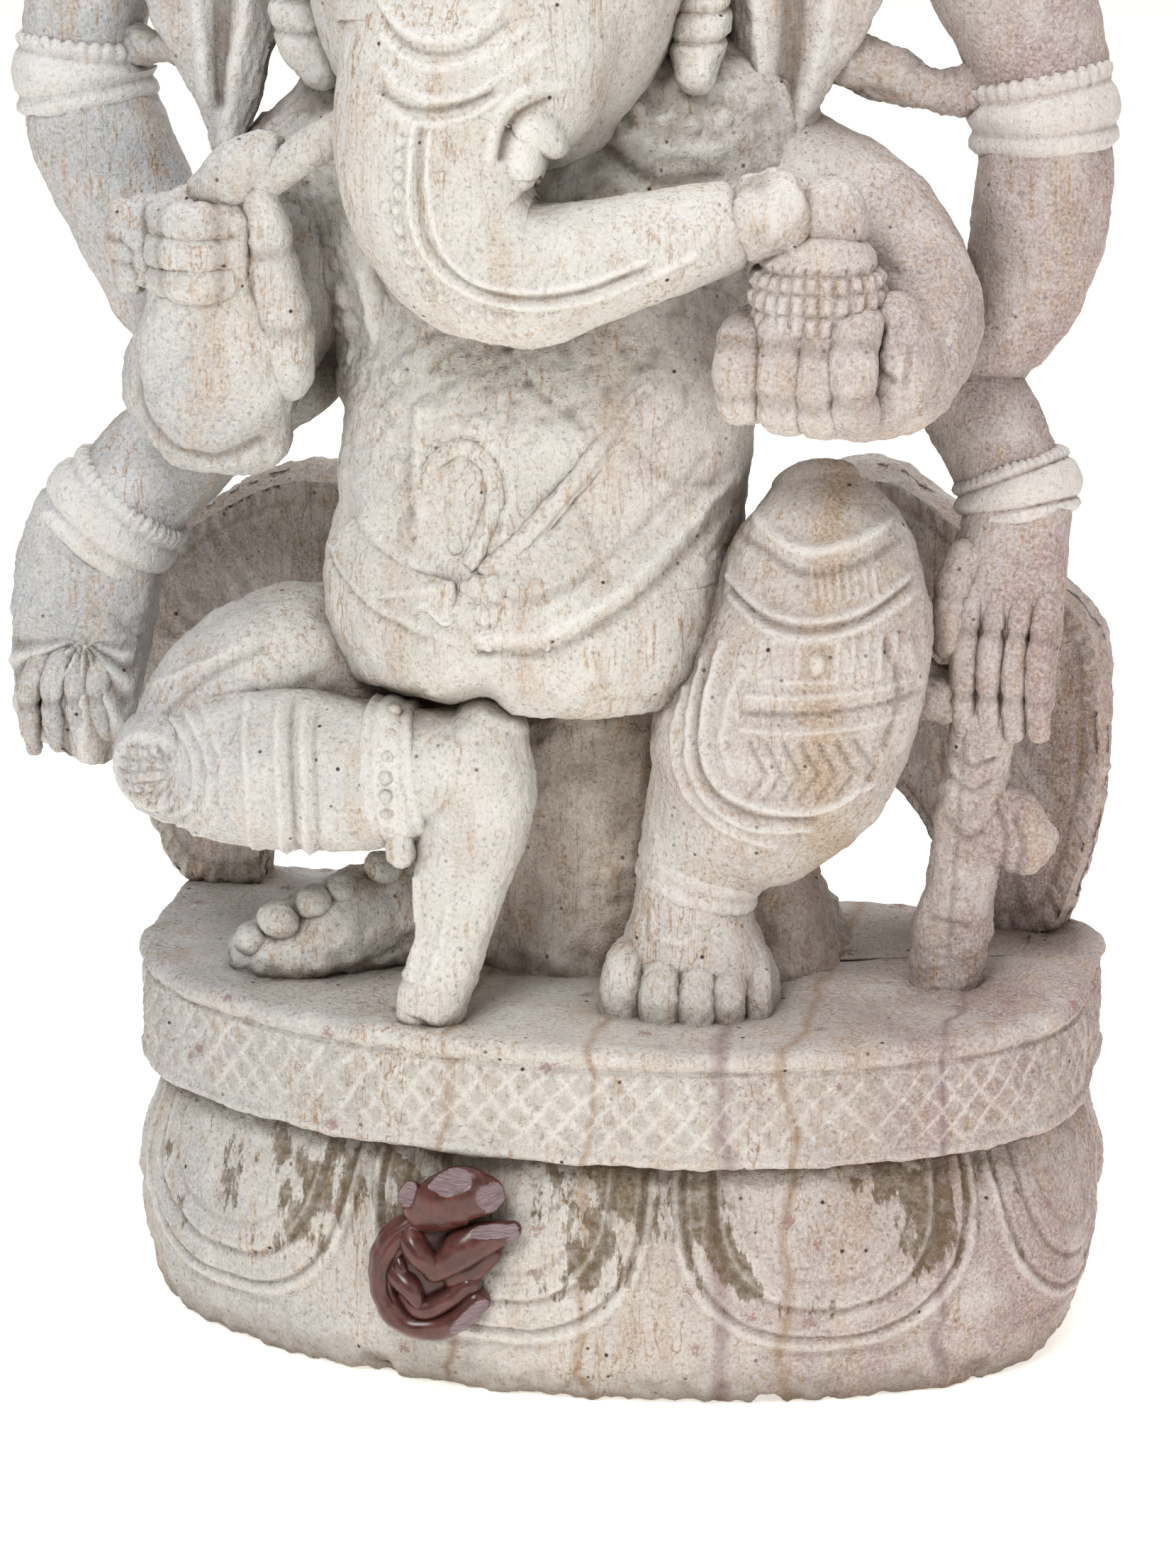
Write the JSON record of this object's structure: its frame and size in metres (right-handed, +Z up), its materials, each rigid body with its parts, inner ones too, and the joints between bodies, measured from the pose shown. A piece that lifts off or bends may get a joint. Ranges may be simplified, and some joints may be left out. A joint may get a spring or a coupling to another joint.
{
  "type": "ganesha idol",
  "caption": "Seated elephant-headed deity statuette carved in pale veined stone on an oval lotus plinth, with a small dark mouse at its foot.",
  "frame": {"origin": "middle of the flat underside of the plinth, at the level it rests on", "axes": "+Z up through the crown, -Y the way the figure faces, +X to the right of someone who looks at its face"},
  "size_m": [0.1165, 0.0577, 0.203],
  "materials": {
    "pale_stone": "hand-carved, matte, fine grained, with tan veins",
    "pink_stone": "hand-carved, matte, pinkish grey, with tan veins",
    "plinth_stone": "hand-carved, matte, with tool marks and veins",
    "mouse_stone": "waxed maroon stone with matte cut facets",
    "glue": "dried adhesive, olive brown, semi-gloss"
  },
  "bodies": {
    "root": {"arm_strut_left": "pale_stone", "arm_strut_right": "pink_stone", "armlet_left": "pale_stone", "armlet_right": "pink_stone", "axe_blade": "pink_stone", "axe_handle": "pink_stone", "back_plate_left": "pale_stone", "back_plate_right": "pink_stone", "belly": "pale_stone", "belly_belt": "pale_stone", "belt_buckle": "pale_stone", "bracelet_left": "pale_stone", "bracelet_right": "pink_stone", "crossed_anklet": "pale_stone", "crossed_foot": "pale_stone", "crossed_shin": "pale_stone", "crossed_thigh": "pale_stone", "crown": "pale_stone", "crown_band": "pale_stone", "ear_drop_left": "pale_stone", "ear_drop_right": "pale_stone", "ear_left": "pale_stone", "ear_right": "pale_stone", "fan_leaf": "pale_stone", "front_arm_left": "pale_stone", "front_arm_right": "pale_stone", "front_forearm_left": "pale_stone", "front_forearm_right": "pale_stone", "front_hand_left": "pale_stone", "front_hand_right": "pale_stone", "glue_bed": "glue", "hand_sweets": "pale_stone", "head": "pale_stone", "knee_cap": "pale_stone", "knee_strut": "pink_stone", "lotus_base": "plinth_stone", "lower_hand_left": "pale_stone", "lower_hand_right": "pink_stone", "mouse_body": "mouse_stone", "mouse_head": "mouse_stone", "mouse_paw": "mouse_stone", "offering_sweets": "pale_stone", "offering_tray": "pale_stone", "plinth_slab": "plinth_stone", "rear_forearm_left": "pale_stone", "rear_forearm_right": "pink_stone", "rear_upper_arm_left": "pale_stone", "rear_upper_arm_right": "pink_stone", "sacred_thread": "pale_stone", "seat_block": "pale_stone", "standing_anklet": "pale_stone", "standing_foot": "pale_stone", "standing_leg": "pale_stone", "standing_toes": "pale_stone", "stylus_tusk": "pale_stone", "sweet_bowl": "pale_stone", "torso": "pale_stone", "trunk": "pale_stone"}
  },
  "joints": []
}
